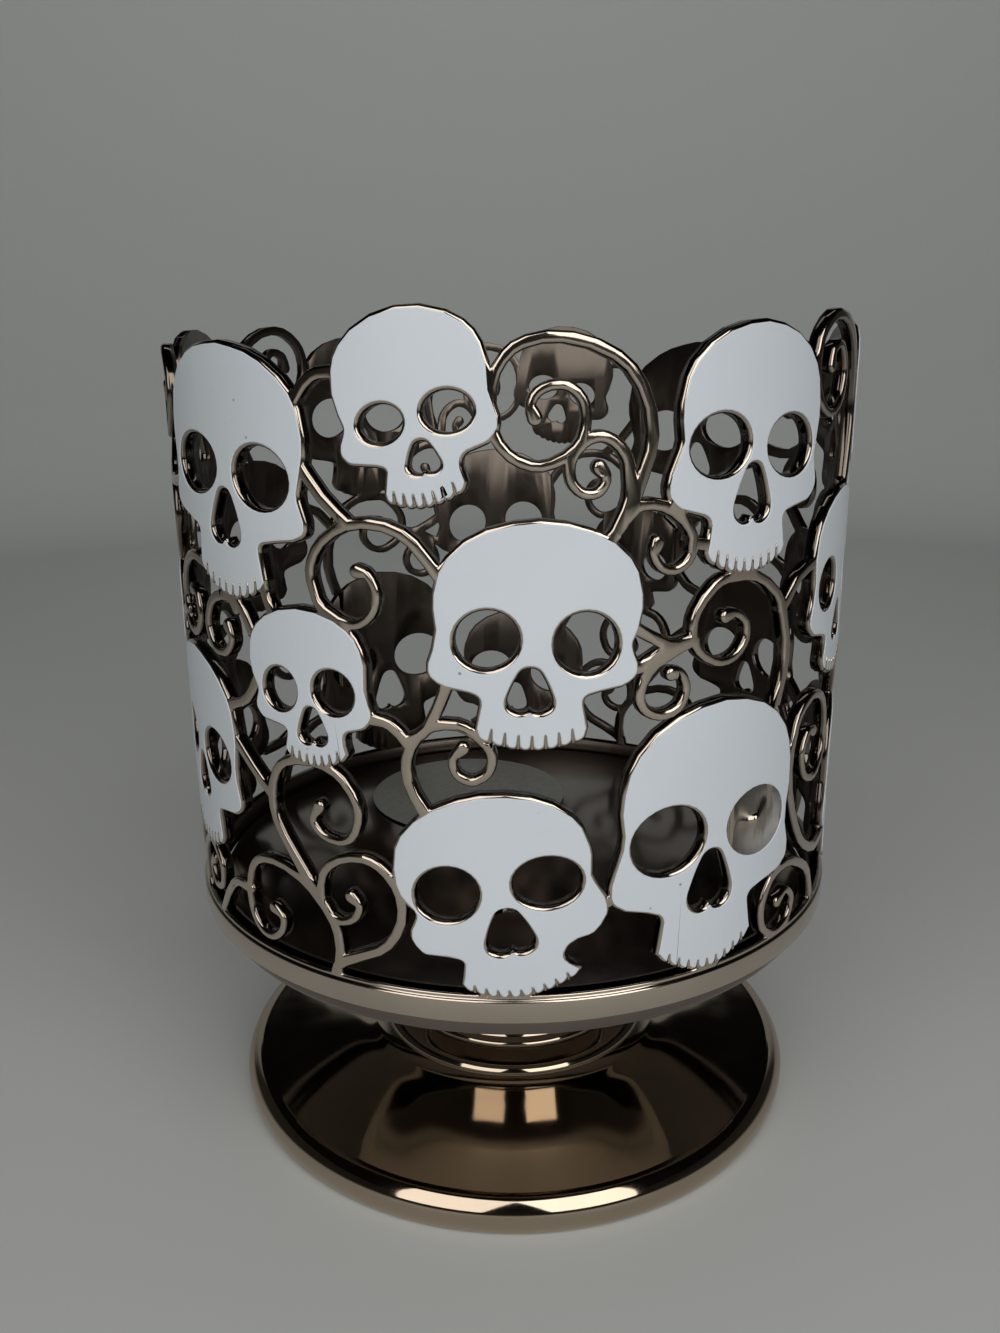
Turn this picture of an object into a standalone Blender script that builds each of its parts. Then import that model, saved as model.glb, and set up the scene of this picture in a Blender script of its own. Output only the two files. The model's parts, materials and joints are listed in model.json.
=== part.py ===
# Pedestal candle holder with a pierced sleeve of skulls and scrolls.
# Metres, +Z up, origin at the centre of the foot where it meets the table. The front faces -Y.

import math

import bmesh
import bpy
from mathutils import Matrix, Vector

MM = 0.001

# Sleeve
SLEEVE_RADIUS = 0.0550
SLEEVE_HEIGHT = 0.0940
SLEEVE_BOTTOM = 0.0403
BAND_HEIGHT = 0.0042
BAND_THICKNESS = 0.0028
PLATE_THICKNESS = 0.0017
PLATE_DEPTH = 0.0009
LINK_RECESS = 0.00015
SLEEVE_FACETS = 24
BAND_EASE = 0.0004

# Enamel in the skulls
ENAMEL_THICKNESS = 0.0004
ENAMEL_GAP = 0.0003
ENAMEL_MARGIN = 0.0007

# Scrollwork
STRAND_ROOT = 0.0019
STRAND_TIP = 0.0013
SCROLL_EYE = 0.0024
LINK_WIDTH = 0.0018

# Tray that carries the candle
FLOOR_TOP = 0.0420
FLOOR_THICKNESS = 0.0024
TRAY_RADIUS = 0.0526
TRAY_SKIRT_DEPTH = 0.0033
TRAY_SKIRT_WALL = 0.0020
TRAY_SKIRT_EASE = 0.0008
BOSS_RADIUS = 0.0060
BOSS_HEIGHT = 0.0021

# Blank label on the tray floor
LABEL_RADIUS = 0.0195
LABEL_THICKNESS = 0.0002
LABEL_OFFSET = (-0.0087, 0.0240)

# Pedestal
FOOT_RADIUS = 0.0503
FOOT_HEIGHT = 0.0062
FOOT_LIP_WIDTH = 0.0027
BEAD_RADIUS = 0.0236
BEAD_HEIGHT = 0.0104
BEAD_SIZE = 0.0011
NECK_RADIUS = 0.0188
NECK_HEIGHT = 0.0178
NECK_RING = 0.0008
SEAT_RADIUS = 0.0320
SEAT_THICKNESS = 0.0020
PEDESTAL_WALL = 0.0018

# Centre screw and washer under the seat
SCREW_RADIUS = 0.0020
SCREW_HEAD_RADIUS = 0.0038
SCREW_HEAD_HEIGHT = 0.0030
THREAD_DEPTH = 0.0035
WASHER_RADIUS = 0.0100
WASHER_THICKNESS = 0.0012

FIT_GAP = 0.0003
TURNED_STEPS = 28
SCREW_STEPS = 16
MERGE_DISTANCE = 0.000001
FLAT_ANGLE = math.radians(0.5)

# The pattern covers half the sleeve and is repeated behind. It is drawn flat, in millimetres
# along the wall and up from the band's lower edge, for this radius and height.
DRAWN_RADIUS = 55.0
DRAWN_HEIGHT = 94.0
HALF_TURN = math.pi

# Each skull: the heights of its chin and crown and its lean in degrees, then its left and right
# sides at the head, cheeks, neck of the jaw and jaw, the height share of the cheeks' underside, its
# eyes (middle, half width, half height) and its nose (middle, foot, top, half width).
SKULLS = [
    dict(chin=56.9, crown=90.8, lean=-4, head=(-60.1, -27.3), cheek=(-60.7, -27.8), neck=(-51.9, -36.2),
         jaw=(-52.2, -35.5), shelf=0.27, eyes=((-51.2, 74.7, 6.0, 4.0), (-35.7, 73.5, 5.1, 4.1)),
         nose=(-43.8, 64.2, 71.5, 3.5)),
    dict(chin=70.8, crown=94.2, lean=9, head=(-23.3, -2.9), cheek=(-22.3, -1.6), neck=(-16.2, -6.2),
         jaw=(-16.4, -5.6), shelf=0.25, eyes=((-16.6, 80.6, 2.9, 2.3), (-8.1, 82.1, 3.1, 2.5)),
         nose=(-11.2, 74.8, 78.6, 2.0)),
    dict(chin=60.8, crown=92.6, lean=-1, head=(20.8, 47.5), cheek=(19.3, 47.3), neck=(25.7, 39.6),
         jaw=(25.2, 40.1), shelf=0.255, eyes=((27.3, 77.4, 4.6, 3.9), (40.3, 76.8, 4.75, 3.9)),
         nose=(33.0, 67.5, 74.8, 3.05)),
    dict(chin=35.2, crown=57.2, lean=3, head=(-40.5, -19.7), cheek=(-39.6, -19.0), neck=(-33.7, -23.4),
         jaw=(-34.1, -23.0), shelf=0.245, eyes=((-34.3, 45.3, 3.0, 3.0), (-25.1, 46.0, 3.1, 3.0)),
         nose=(-28.8, 38.4, 43.3, 2.25)),
    dict(chin=39.8, crown=69.3, lean=-1, head=(-10.8, 16.8), cheek=(-11.6, 16.2), neck=(-4.9, 9.0),
         jaw=(-5.5, 9.5), shelf=0.26, eyes=((-3.7, 54.2, 4.1, 3.9), (9.1, 53.5, 4.1, 4.1)),
         nose=(1.8, 44.6, 50.5, 2.9)),
    dict(chin=41.3, crown=70.0, lean=0, head=(49.0, 75.0), cheek=(48.3, 75.7), neck=(55.2, 68.8),
         jaw=(54.7, 69.3), shelf=0.255, eyes=((55.2, 55.9, 3.8, 3.7), (68.8, 55.9, 3.8, 3.7)),
         nose=(62.0, 46.6, 52.2, 2.9)),
    dict(chin=14.8, crown=47.2, lean=-2, head=(-74.3, -45.3), cheek=(-75.4, -45.0), neck=(-68.0, -52.9),
         jaw=(-68.5, -52.4), shelf=0.26, eyes=((-67.2, 31.6, 4.9, 3.9), (-52.8, 31.1, 4.9, 3.9)),
         nose=(-60.0, 23.0, 29.4, 3.1)),
    dict(chin=4.1, crown=33.6, lean=8, head=(-17.3, 10.3), cheek=(-15.0, 12.7), neck=(-7.6, 6.8),
         jaw=(-7.9, 9.1), shelf=0.235, eyes=((-9.6, 19.0, 4.4, 4.0), (4.1, 21.0, 4.65, 3.7)),
         nose=(-1.1, 10.5, 17.1, 3.3)),
    dict(chin=4.2, crown=44.2, lean=-1, head=(13.9, 45.6), cheek=(12.5, 45.9), neck=(20.4, 36.6),
         jaw=(19.7, 37.3), shelf=0.265, eyes=((21.5, 25.0, 5.65, 4.9), (37.3, 24.6, 5.7, 4.9)),
         nose=(28.6, 13.4, 22.2, 3.7)),
    dict(chin=65.6, crown=93.2, lean=4, head=(67.9, 91.5), cheek=(68.0, 92.6), neck=(74.8, 86.8),
         jaw=(74.3, 87.3), shelf=0.255, eyes=((74.3, 79.0, 3.9, 3.3), (85.7, 79.8, 3.9, 3.3)),
         nose=(80.7, 71.2, 76.4, 2.5)),
    dict(chin=4.2, crown=34.6, lean=-5, head=(64.9, 90.9), cheek=(63.5, 90.7), neck=(69.7, 83.1),
         jaw=(69.2, 83.6), shelf=0.25, eyes=((70.9, 20.2, 4.3, 3.8), (84.1, 19.0, 4.3, 3.8)),
         nose=(76.7, 11.0, 16.8, 2.9)),
    dict(chin=38.4, crown=58.6, lean=5, head=(83.0, 101.4), cheek=(83.1, 102.5), neck=(88.3, 98.1),
         jaw=(88.0, 98.4), shelf=0.25, eyes=((88.2, 47.6, 2.9, 2.7), (96.8, 48.4, 2.9, 2.7)),
         nose=(93.2, 41.8, 45.8, 2.0)),
]

# One side of a skull from crown to chin: the level whose half span counts, the share of it and the
# height as a share of the skull's. Shares under SHELF_REACH count from the cheeks' underside.
SKULL_SIDE = [
    ("head", 0.37, 0.977), ("head", 0.70, 0.908), ("head", 0.92, 0.80), ("head", 1.0, 0.655),
    ("cheek", 0.945, 0.455), ("cheek", 1.0, 0.355), ("cheek", 0.88, 0.015), ("cheek", 0.69, -0.005),
    ("neck", 1.0, -0.06),
]
SKULL_JAW = [("jaw", 1.0, 0.095), ("jaw", 0.62, 0.025)]
HEAD_LEVEL = 0.655
SHELF_REACH = 0.05

# A nose hole in half widths and half heights, from its top round by the left.
NOSE_SHAPE = [(0.0, 1.0), (-0.95, -0.35), (-0.72, -0.9), (0.0, -0.8), (0.72, -0.9), (0.95, -0.35)]

# Scrolls, each a hand-drawn path from its root to its curled tip.
SCROLLS = [
    [(-9, 61.3), (-12.7, 66.1), (-16.1, 68.1), (-20, 68.5), (-23.4, 67.6), (-26.4, 65.3), (-27.9, 62.3),
     (-27.5, 59.4), (-26.4, 57.4), (-23.4, 55.7), (-20.8, 55.5), (-18.7, 57.2), (-18.1, 59.8), (-19.1, 61.9),
     (-20.8, 62.4)],
    [(11.5, 65.8), (14, 69), (15.6, 72.7), (16.9, 76), (17.4, 79.3), (16.7, 83), (14.5, 86.7), (11.2, 89),
     (7, 90.3), (3.3, 90.4), (0, 89.3), (-2.1, 86.9), (-2.9, 83.9), (-2.7, 80.6), (-1.9, 78.3), (0, 76.4),
     (2.8, 75.5), (5.6, 76.2), (7.9, 78), (8.8, 80.6), (8.4, 83.2), (6.7, 84.8), (4.6, 85), (2.8, 84.2),
     (2, 82.8), (2.5, 81.2)],
    [(12.6, 67), (14.4, 71), (14.5, 74), (14.1, 76.3), (12.6, 78.2), (10.5, 79), (8.4, 78.2), (6.9, 76.1),
     (7, 73.7), (8.5, 72.2), (10.4, 72.3), (11.4, 73.9), (10.5, 75.3)],
    [(13.6, 68.6), (15.6, 70.4), (18.4, 70.5), (21, 69.3), (23.1, 67.2), (23.7, 65.1), (22.9, 63.1),
     (21, 62.1), (19.1, 62.6), (18, 64.2), (18.4, 65.8)],
    [(40.6, 40.8), (42.4, 46), (42.4, 50), (41.5, 53.1), (40.1, 56.4), (37.3, 58.8), (34.5, 60.1),
     (31.3, 60.4), (28.2, 60), (25.7, 58), (24.2, 55.4), (24.3, 52.6), (25.8, 50.5), (28.7, 49.1),
     (31.5, 49.6), (33.3, 51.6), (33.2, 54), (31.3, 55.4), (29.4, 55.2)],
    [(24.3, 52.8), (21.5, 51.6), (18.6, 50.1), (16.9, 47.9), (16.5, 45.6), (17.6, 43.8), (19.9, 43.0),
     (22.4, 43.9), (23.4, 46.2), (22.6, 48.3), (21.0, 48.5)],
    [(-12, 30), (-14.3, 34), (-14.7, 37.6), (-13.3, 40.8), (-11, 42.6), (-7.8, 42.9), (-5.2, 41.6),
     (-3.3, 39.3), (-3.6, 36.7), (-5.7, 35.3), (-7.8, 36.1), (-8.4, 38.2), (-7, 39.8)],
    [(-29.5, 15.4), (-32.8, 19.6), (-35.3, 22.6), (-37.2, 25.6), (-37.7, 29), (-36.6, 32.6), (-34.1, 34.8),
     (-29.4, 35.6), (-25.5, 34.6), (-23, 32), (-22.1, 29), (-23, 26), (-25.1, 24.6), (-28.1, 25),
     (-29.8, 26.9), (-28.6, 29.2)],
    [(-27.4, 3), (-26.6, 5.5), (-23, 7.6), (-19.5, 9.3), (-17.4, 11.5), (-16.1, 14.8), (-16.6, 18.7),
     (-19, 21.7), (-22.1, 22.7), (-25.9, 21.7), (-28.5, 19.2), (-29.1, 15.8), (-28, 13.2), (-25.6, 12.4),
     (-23.4, 13.5), (-22.7, 15.4), (-24, 16.6)],
    [(-27.6, 2.5), (-26.3, 7), (-26.7, 11), (-28.5, 14), (-31.9, 17), (-36.2, 18.5), (-40.5, 18.3),
     (-43.4, 16.6), (-44.9, 13.6), (-45.2, 10.2), (-44.3, 7.6), (-42.2, 5.9), (-39.6, 5.9), (-37.6, 7.6),
     (-37.2, 9.8), (-39.2, 10.8)],
    [(-39.6, 52), (-42, 55.5), (-46, 56.6), (-50.3, 55.2), (-52.4, 51.5), (-50.5, 48.3), (-47, 48.2),
     (-45, 50.3), (-46, 52.3)],
    [(-51.6, 60.5), (-57, 61), (-62, 58.5), (-64.5, 54), (-62.5, 50), (-58.5, 49), (-55.6, 51.5),
     (-56.3, 55), (-58.8, 55.5)],
    [(59, 3), (56, 9.5), (51.3, 13), (46.5, 14.7), (42.3, 13.7), (40.1, 9.8), (40.8, 6), (44, 4), (48, 5),
     (49.2, 8), (47, 10), (44.5, 9)],
    [(65, 13), (58.5, 12.9), (53, 15.4), (49.8, 18.6), (47, 23.9), (45.8, 28.2), (46, 33), (48, 37.5),
     (52.5, 39.5), (57.5, 38), (60.3, 33.5), (59.4, 28.6), (55.5, 26), (51.2, 27.3), (49.7, 31),
     (51.6, 34), (54, 33.6)],
    [(62.5, 68.5), (65.3, 73.5), (66.9, 79), (66.2, 85), (62.5, 90), (57, 93), (51.5, 93.2), (47.4, 90.4),
     (46.4, 86), (48.2, 82), (52, 80.4), (56, 82.3), (57.2, 86.3), (54.9, 89.4), (51.8, 88.8),
     (51.2, 86.6)],
    [(74.4, 56), (77.5, 61.2), (81, 64.8), (85.5, 65.6), (89, 63), (89.9, 58.8), (87.3, 55.2),
     (83.3, 54.6), (80.5, 57), (81.2, 60.3), (83.7, 60.6)],
    [(87.6, 42.2), (82.5, 44.6), (77, 45.2), (72.6, 42.8), (71.2, 38.5), (74.3, 34.8), (78.4, 35.6),
     (79.6, 39), (77.2, 40.7)],
    [(95.6, 57), (100, 60), (103.3, 63.6), (102.8, 68.2), (99, 70.4), (95.2, 68.2), (94.5, 64.4),
     (97, 62.3), (98.9, 64)],
    [(94.5, 2.8), (91.8, 8), (91.7, 13.6), (94.5, 17.6), (98.8, 17.5), (101.8, 14.2), (101.2, 9.8),
     (97.9, 8.4), (95.5, 10.4), (96.8, 13)],
    [(-66, 2.8), (-66.5, 8.6), (-64, 13), (-59.5, 14.8), (-55.4, 12.4), (-55.6, 8.6), (-59, 7.3),
     (-61.4, 9.6), (-59.6, 11.4)],
]

# Plain strands between neighbours.
LINKS = [
    [(-29.5, 83), (-27, 85.6), (-25, 86.6), (-21.8, 86.8)],
    [(-29.6, 76.5), (-25.5, 71.5), (-21.6, 68.2)],
    [(50.4, 60.2), (45.3, 58.7), (43, 56.6), (40.8, 54.6)],
    [(14.8, 55.6), (20.4, 52.5), (24.4, 52.7)],
    [(14.6, 49.2), (17, 50.2), (20.6, 52.2)],
    [(-9, 48), (-11.6, 42.4), (-14.4, 40.4)],
    [(-20.8, 43), (-17.6, 42.7), (-15.8, 41.6), (-14.2, 39.8)],
    [(-47.5, 36.5), (-42.2, 32.4), (-37.6, 28.9)],
    [(-38.6, 46.6), (-42, 42.4), (-46.5, 40.6)],
    [(-56.8, 3.2), (-52.2, 9.2), (-49, 11.6), (-44.8, 12)],
    [(22.8, 65.4), (24.6, 65.2), (27, 65)],
    [(-45.2, 60.2), (-44.6, 57.6), (-43.2, 55)],
    [(-36.6, 60), (-36.2, 57.8), (-35, 55.4)],
    [(10.6, 16.2), (13.6, 18), (16.4, 19.4)],
]

# Strands that cross to the pattern's other copy. They are thinner, so each ends inside its plate.
CROSSING_LINKS = [
    [(96.4, 42.4), (99, 41.6), (103, 40)],
    [(89.4, 23.6), (94.5, 27), (100, 29.8)],
    [(100.4, 48.4), (104.5, 50.6), (109.6, 51.6)],
    [(94.6, 17.4), (96.6, 20.4), (100.4, 24.4)],
]
CROSSING_SCROLLS = [
    [(114.5, 72), (107, 70.8), (101, 71.2), (95.2, 74.6), (92.4, 80.5), (94.4, 86), (99, 89.6),
     (104.4, 89.4), (108, 85.4), (107.4, 80.4), (103.8, 77.7), (99.8, 78.8), (98.8, 82.6), (101, 84.6)],
]

# How far a strand's straight stretches may stray from its drawn curve, and sides on an eye.
CHORD_DRIFT = 0.58
EYE_SIDES = 8

holder = bpy.data.collections.new("skull_candle_holder")
cutters = bpy.data.collections.new("cutters")


def clear_scene():
    for thing in list(bpy.data.objects):
        bpy.data.objects.remove(thing, do_unlink=True)
    bpy.context.scene.collection.children.link(holder)
    bpy.context.scene.collection.children.link(cutters)


def material(name, color, roughness, metallic):
    finish = bpy.data.materials.new(name)
    finish.use_nodes = True
    shader = finish.node_tree.nodes["Principled BSDF"]
    shader.inputs["Base Color"].default_value = (*color, 1.0)
    shader.inputs["Roughness"].default_value = roughness
    shader.inputs["Metallic"].default_value = metallic
    return finish


def mesh_object(name, mesh, collection, finish=None):
    thing = bpy.data.objects.new(name, mesh)
    collection.objects.link(thing)
    if finish is not None:
        mesh.materials.clear()
        mesh.materials.append(finish)
    return thing


# Flat drawing

def smooth_path(points, steps=8):
    ends = [2 * Vector(points[0]) - Vector(points[1]), 2 * Vector(points[-1]) - Vector(points[-2])]
    knots = [ends[0]] + [Vector(point) for point in points] + [ends[1]]
    path = []
    for index in range(1, len(knots) - 2):
        before, start, end, after = knots[index - 1:index + 3]
        for step in range(steps):
            t = step / steps
            path.append(0.5 * (2 * start + (end - before) * t
                               + (2 * before - 5 * start + 4 * end - after) * t ** 2
                               + (3 * start - before - 3 * end + after) * t ** 3))
    path.append(knots[-2])
    return path


def simplified(path, tolerance):
    start, end = path[0], path[-1]
    chord = (end - start).normalized()
    drifts = [abs((point - start).cross(chord)) if chord.length else (point - start).length for point in path]
    widest = max(range(len(path)), key=drifts.__getitem__)
    if drifts[widest] < tolerance:
        return [start, end]
    return simplified(path[:widest + 1], tolerance)[:-1] + simplified(path[widest:], tolerance)


def strip_outline(points, root_width, tip_width, eye_width):
    path = simplified(smooth_path(points), CHORD_DRIFT)
    lengths = [0.0]
    for start, end in zip(path, path[1:]):
        lengths.append(lengths[-1] + (end - start).length)
    left = []
    right = []
    for index, point in enumerate(path):
        back = (point - path[index - 1]).normalized() if index else None
        ahead = (path[index + 1] - point).normalized() if index < len(path) - 1 else None
        along = ((back or ahead) + (ahead or back)).normalized()
        mitre = 1.0 / max(0.5, along.dot(ahead or back))
        share = lengths[index] / lengths[-1]
        width = root_width + (tip_width - root_width) * share
        if index == len(path) - 1:
            width = eye_width
            point = point + along * eye_width / 2
        side = Vector((-along.y, along.x)) * mitre * width / 2
        left.append(point + side)
        right.append(point - side)
    return left + right[::-1]


def skull_place(skull, level, across, up):
    left, right = skull[level]
    half = (right - left) / 2
    height = skull["crown"] - skull["chin"]
    slope = math.tan(math.radians(skull["lean"]))
    shift = (up - HEAD_LEVEL) * height * slope if level == "head" else 0.0
    return Vector(((left + right) / 2 + across * half - shift,
                   skull["chin"] + up * height + across * half * slope))


def skull_outline(skull):
    places = []
    for level, share, up in SKULL_SIDE:
        places.append((level, share, up + skull["shelf"] if up < SHELF_REACH else up))
    places += SKULL_JAW
    right = [skull_place(skull, level, share, up) for level, share, up in places]
    left = [skull_place(skull, level, -share, up) for level, share, up in places]
    crown = skull_place(skull, "head", 0.0, 1.0)
    chin = skull_place(skull, "jaw", 0.0, 0.0)
    return [crown] + right + [chin] + left[::-1]


def leaning(skull):
    return Matrix.Rotation(math.radians(skull["lean"]), 2)


def eye_outlines(skull, grow):
    outlines = []
    for x, y, half_width, half_height in skull["eyes"]:
        ring = []
        for step in range(EYE_SIDES):
            angle = 2 * math.pi * step / EYE_SIDES
            reach = Vector(((half_width + grow) * math.cos(angle), (half_height + grow) * math.sin(angle)))
            ring.append(Vector((x, y)) + leaning(skull) @ reach)
        outlines.append(ring)
    return outlines


def nose_outline(skull, grow):
    x, foot, top, half_width = skull["nose"]
    width = half_width + grow
    rise = (top - foot) / 2 + grow
    middle = Vector((x, (foot + top) / 2))
    return [middle + leaning(skull) @ Vector((across * width, up * rise)) for across, up in NOSE_SHAPE]


def inset(outline, distance):
    moved = []
    count = len(outline)
    for index, point in enumerate(outline):
        back = (point - outline[index - 1]).normalized()
        ahead = (outline[(index + 1) % count] - point).normalized()
        along = (back + ahead).normalized()
        moved.append(point + Vector((along.y, -along.x)) * distance / max(0.6, along.dot(ahead)))
    return moved


def flat_solid(name, outlines, low, high):
    curve = bpy.data.curves.new(name, "CURVE")
    curve.dimensions = "2D"
    curve.fill_mode = "BOTH"
    curve.extrude = (high - low) / 2
    for outline in outlines:
        spline = curve.splines.new("POLY")
        spline.points.add(len(outline) - 1)
        for point, place in zip(spline.points, outline):
            point.co = (place.x * MM, place.y * MM, 0.0, 1.0)
        spline.use_cyclic_u = True
    drawn = mesh_object(name + "_curve", curve, cutters)
    drawn.location.z = (low + high) / 2
    return meshed(drawn, name)


def meshed(thing, name):
    bpy.context.view_layer.update()
    evaluated = thing.evaluated_get(bpy.context.evaluated_depsgraph_get())
    mesh = bpy.data.meshes.new_from_object(evaluated)
    mesh.name = name
    mesh.transform(thing.matrix_world)
    bpy.data.objects.remove(thing, do_unlink=True)
    form = bmesh.new()
    form.from_mesh(mesh)
    bmesh.ops.remove_doubles(form, verts=form.verts, dist=MERGE_DISTANCE)
    form.to_mesh(mesh)
    form.free()
    return mesh


# Bending the flat drawing round the sleeve, one flat facet at a time

def facet_width():
    return 2 * math.pi / SLEEVE_FACETS * DRAWN_RADIUS * MM


def bent(mesh):
    form = bmesh.new()
    form.from_mesh(mesh)
    bmesh.ops.dissolve_limit(form, angle_limit=FLAT_ANGLE, verts=form.verts, edges=form.edges)
    width = facet_width()
    first = math.ceil(min(vert.co.x for vert in form.verts) / width)
    last = math.floor(max(vert.co.x for vert in form.verts) / width)
    for line in range(first, last + 1):
        bmesh.ops.bisect_plane(form, geom=form.verts[:] + form.edges[:] + form.faces[:],
                               dist=MERGE_DISTANCE / 2, plane_co=(line * width, 0, 0), plane_no=(1, 0, 0))
    stretch = SLEEVE_HEIGHT / (DRAWN_HEIGHT * MM)
    for vert in form.verts:
        facet = math.floor(vert.co.x / width + 0.0001)
        share = vert.co.x / width - facet
        start = facet_corner(facet, vert.co.z)
        end = facet_corner(facet + 1, vert.co.z)
        place = start.lerp(end, share)
        vert.co = (place.x, place.y, SLEEVE_BOTTOM + vert.co.y * stretch)
    form.to_mesh(mesh)
    form.free()
    return mesh


def facet_corner(index, radius):
    angle = index * 2 * math.pi / SLEEVE_FACETS
    return Vector((radius * math.sin(angle), -radius * math.cos(angle)))


def united(mesh, others, name):
    base = mesh_object(name + "_base", mesh, cutters)
    operands = bpy.data.collections.new(name + "_operands")
    cutters.children.link(operands)
    for index, other in enumerate(others):
        mesh_object("%s_operand_%02d" % (name, index), other, operands)
    union = base.modifiers.new("union", "BOOLEAN")
    union.operation = "UNION"
    union.solver = "EXACT"
    union.operand_type = "COLLECTION"
    union.collection = operands
    whole = meshed(base, name)
    for thing in list(operands.objects):
        bpy.data.objects.remove(thing, do_unlink=True)
    bpy.data.collections.remove(operands)
    return whole


def plate_span():
    outer = SLEEVE_RADIUS - PLATE_DEPTH
    return outer - PLATE_THICKNESS, outer


def pattern_half():
    low, high = plate_span()
    solids = []
    for skull in SKULLS:
        holes = eye_outlines(skull, 0.0) + [nose_outline(skull, 0.0)]
        solids.append(flat_solid("skull_plate", [skull_outline(skull)] + holes, low, high))
    for path in SCROLLS:
        outline = strip_outline(path, STRAND_ROOT / MM, STRAND_TIP / MM, SCROLL_EYE / MM)
        solids.append(flat_solid("scroll", [outline], low, high))
    for path in LINKS:
        outline = strip_outline(path, LINK_WIDTH / MM, LINK_WIDTH / MM, LINK_WIDTH / MM)
        solids.append(flat_solid("link", [outline], low, high))
    thin = (low + LINK_RECESS, high - LINK_RECESS)
    for path in CROSSING_SCROLLS:
        outline = strip_outline(path, STRAND_ROOT / MM, STRAND_TIP / MM, SCROLL_EYE / MM)
        solids.append(flat_solid("crossing_scroll", [outline], *thin))
    for path in CROSSING_LINKS:
        outline = strip_outline(path, LINK_WIDTH / MM, LINK_WIDTH / MM, LINK_WIDTH / MM)
        solids.append(flat_solid("crossing_link", [outline], *thin))
    return bent(united(solids[0], solids[1:], "pattern"))


def turned_mesh(name, profile, steps):
    mesh = bpy.data.meshes.new(name)
    count = len(profile)
    closed = profile[0][0] > 0 or profile[-1][0] > 0
    edges = [(index, index + 1) for index in range(count - 1)]
    if closed:
        edges.append((count - 1, 0))
    mesh.from_pydata([(radius, 0, height) for radius, height in profile], edges, [])
    form = mesh_object(name + "_profile", mesh, cutters)
    screw = form.modifiers.new("turn", "SCREW")
    screw.axis = "Z"
    screw.steps = steps
    screw.render_steps = steps
    screw.use_merge_vertices = True
    screw.merge_threshold = MERGE_DISTANCE * 10
    screw.use_smooth_shade = False
    return meshed(form, name)


def sleeve():
    outer = SLEEVE_RADIUS
    inner = SLEEVE_RADIUS - BAND_THICKNESS
    top = SLEEVE_BOTTOM + BAND_HEIGHT
    profile = [(inner, top), (outer - BAND_EASE, top), (outer, top - BAND_EASE), (outer, SLEEVE_BOTTOM),
               (inner, SLEEVE_BOTTOM)]
    band = turned_mesh("band", profile, SLEEVE_FACETS)
    band.transform(Matrix.Rotation(-math.pi / 2, 4, "Z"))
    front = pattern_half()
    back = front.copy()
    back.transform(Matrix.Rotation(HALF_TURN, 4, "Z"))
    mesh = united(band, [front, back], "pierced_sleeve")
    mesh_object("pierced_sleeve", mesh, holder, material("gunmetal_sleeve", (0.30, 0.26, 0.23), 0.22, 1.0))


def enamel():
    white = material("white_enamel", (0.80, 0.85, 0.90), 0.35, 0.0)
    low = plate_span()[1] + ENAMEL_GAP
    high = low + ENAMEL_THICKNESS
    margin = ENAMEL_MARGIN / MM
    number = 0
    for skull in SKULLS:
        holes = eye_outlines(skull, margin) + [nose_outline(skull, margin)]
        outline = inset(skull_outline(skull), margin)
        front = bent(flat_solid("enamel", [outline] + holes, low, high))
        back = front.copy()
        back.transform(Matrix.Rotation(HALF_TURN, 4, "Z"))
        number += 1
        mesh_object("enamel_front_%02d" % number, front, holder, white)
        mesh_object("enamel_back_%02d" % number, back, holder, white)


def tray():
    floor_under = FLOOR_TOP - FLOOR_THICKNESS
    shoulder = SLEEVE_BOTTOM - FIT_GAP
    inside = (SLEEVE_RADIUS - BAND_THICKNESS) * math.cos(math.pi / SLEEVE_FACETS) - FIT_GAP
    skirt_low = shoulder - TRAY_SKIRT_DEPTH
    skirt_in = TRAY_RADIUS - TRAY_SKIRT_WALL
    hole = SCREW_RADIUS + FIT_GAP
    boss_low = floor_under - BOSS_HEIGHT
    hole_top = boss_low + THREAD_DEPTH
    ease = TRAY_SKIRT_EASE
    profile = [(0, FLOOR_TOP), (inside, FLOOR_TOP), (inside, shoulder), (TRAY_RADIUS - ease / 2, shoulder),
               (TRAY_RADIUS, shoulder - ease), (TRAY_RADIUS, skirt_low + ease * 1.5),
               (TRAY_RADIUS - ease, skirt_low), (skirt_in, skirt_low), (skirt_in, floor_under),
               (BOSS_RADIUS, floor_under), (BOSS_RADIUS, boss_low), (hole, boss_low), (hole, hole_top),
               (0, hole_top)]
    mesh = turned_mesh("tray", profile, TURNED_STEPS)
    mesh_object("tray", mesh, holder, material("gunmetal_tray", (0.22, 0.18, 0.15), 0.25, 1.0))


def label():
    mesh = bpy.data.meshes.new("blank_label")
    form = bmesh.new()
    bmesh.ops.create_cone(form, cap_ends=True, segments=TURNED_STEPS, radius1=LABEL_RADIUS,
                          radius2=LABEL_RADIUS, depth=LABEL_THICKNESS)
    form.to_mesh(mesh)
    form.free()
    disc = mesh_object("blank_label", mesh, holder, material("label_paper", (0.36, 0.37, 0.35), 0.55, 0.0))
    disc.location = (*LABEL_OFFSET, FLOOR_TOP + FIT_GAP + LABEL_THICKNESS / 2)


def seat_top():
    return FLOOR_TOP - FLOOR_THICKNESS - FIT_GAP


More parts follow.
